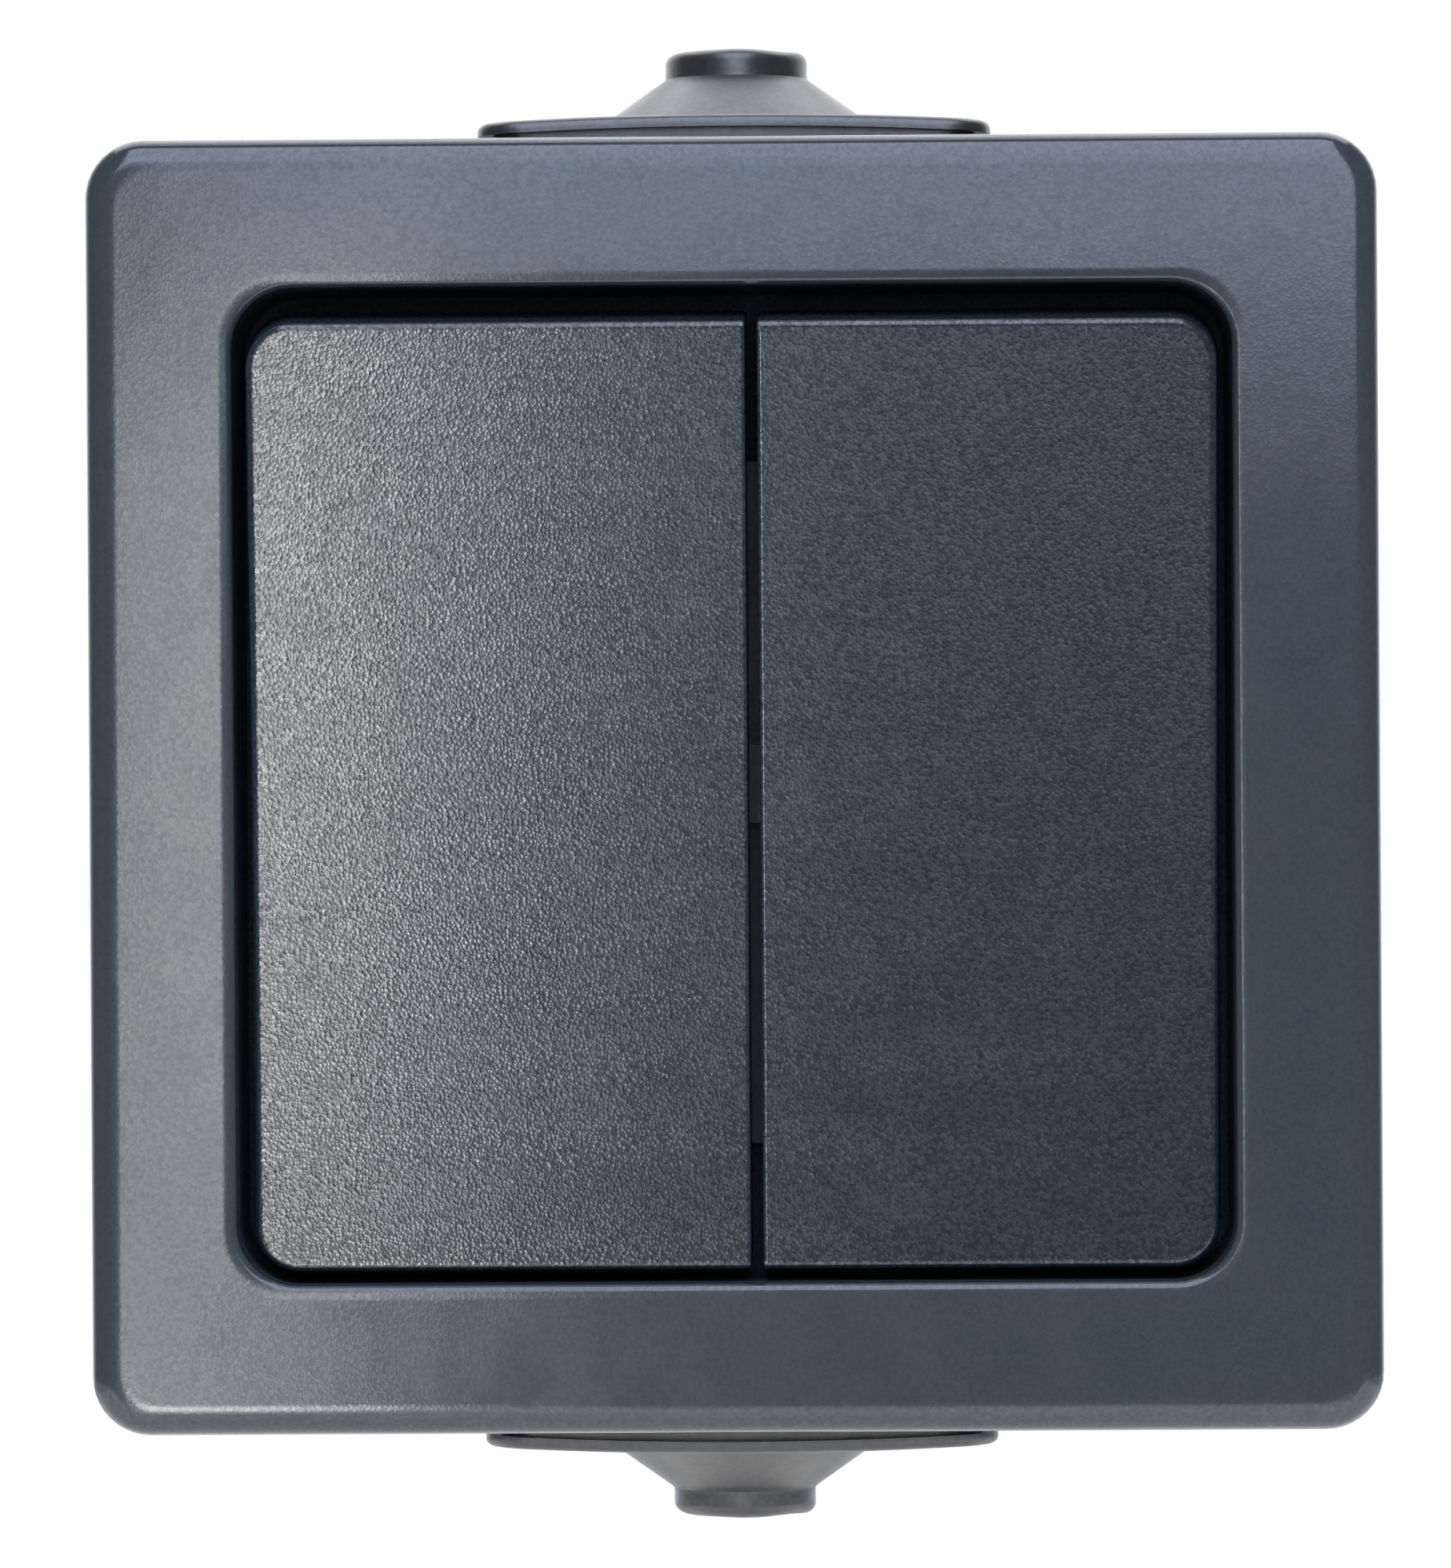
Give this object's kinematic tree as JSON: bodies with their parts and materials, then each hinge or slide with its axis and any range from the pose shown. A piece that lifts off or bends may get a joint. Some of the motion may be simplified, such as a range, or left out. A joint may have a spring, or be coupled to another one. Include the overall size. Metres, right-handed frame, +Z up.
{
  "type": "rocker wall switch",
  "caption": "Splash-proof surface-mounted rocker wall switch: a square cover frame around side-by-side rockers, on a deep box with rubber cable grommets.",
  "frame": {"origin": "middle of the box's flat back, which lies on the wall", "axes": "+X to the right seen from the room, +Y into the wall, so the rockers face -Y, +Z up"},
  "size_m": [0.066, 0.0471, 0.079],
  "materials": {
    "cover_plastic": "satin anthracite",
    "rocker_plastic": "fine-grained anthracite",
    "box_plastic": "satin anthracite",
    "grommet_rubber": "semi-matte dark grey",
    "seal_rubber": "matte black",
    "module_plastic": "matte near-black moulding",
    "actuator_plastic": "natural nylon",
    "plunger_plastic": "slippery white acetal",
    "steel": "zinc-plated",
    "brass": "stamped brass",
    "silver_tip": "silver contact rivet"
  },
  "bodies": {
    "housing": {"base_box": "box_plastic", "top_cable_grommet": "grommet_rubber", "bottom_cable_grommet": "grommet_rubber", "cover_frame": "cover_plastic", "cover_gasket": "seal_rubber", "cover_screws": "steel", "window_seal": "seal_rubber", "module_body": "module_plastic", "module_bridge": "module_plastic", "module_screws": "steel", "pivot_pin": "steel", "common_bus": "brass", "left_fixed_contact": "brass", "right_fixed_contact": "brass", "fixed_tips": "silver_tip", "terminal_clamps": "brass", "terminal_screws": "steel"},
    "left_switch": {"left_rocker": "rocker_plastic", "left_actuator": "actuator_plastic", "left_spring": "steel"},
    "right_switch": {"right_rocker": "rocker_plastic", "right_actuator": "actuator_plastic", "right_spring": "steel"},
    "left_plunger": {"left_plunger": "plunger_plastic"},
    "right_plunger": {"right_plunger": "plunger_plastic"},
    "left_contact": {"left_contact_lever": "brass", "left_moving_tip": "silver_tip"},
    "right_contact": {"right_contact_lever": "brass", "right_moving_tip": "silver_tip"}
  },
  "joints": [
    {"name": "left_rocker_hinge", "type": "hinge", "parent": "housing", "child": "left_switch", "pos_m": [-0.0115, -0.037, 0], "axis": [-1, 0, 0], "range_deg": [0, 9]},
    {"name": "right_rocker_hinge", "type": "hinge", "parent": "housing", "child": "right_switch", "pos_m": [0.0115, -0.037, 0], "axis": [-1, 0, 0], "range_deg": [0, 9]},
    {"name": "left_plunger_slide", "type": "slide", "parent": "left_switch", "child": "left_plunger", "axis": [0, -0.9969, -0.0785], "range_m": [0, 0.0005], "stiffness_N_per_m": 400, "springref_m": -0.002, "deforming": ["left_spring"]},
    {"name": "right_plunger_slide", "type": "slide", "parent": "right_switch", "child": "right_plunger", "axis": [0, -0.9969, -0.0785], "range_m": [0, 0.0005], "stiffness_N_per_m": 400, "springref_m": -0.002, "deforming": ["right_spring"]},
    {"name": "left_contact_tilt", "type": "hinge", "parent": "housing", "child": "left_contact", "pos_m": [-0.0115, -0.0177, 0], "axis": [1, 0, 0], "range_deg": [0, 10]},
    {"name": "right_contact_tilt", "type": "hinge", "parent": "housing", "child": "right_contact", "pos_m": [0.0115, -0.0177, 0], "axis": [1, 0, 0], "range_deg": [0, 10]}
  ],
  "couplings": [
    {"joint": "left_contact_tilt", "follows": "left_rocker_hinge", "ratio": 1.1111},
    {"joint": "right_contact_tilt", "follows": "right_rocker_hinge", "ratio": 1.1111}
  ]
}
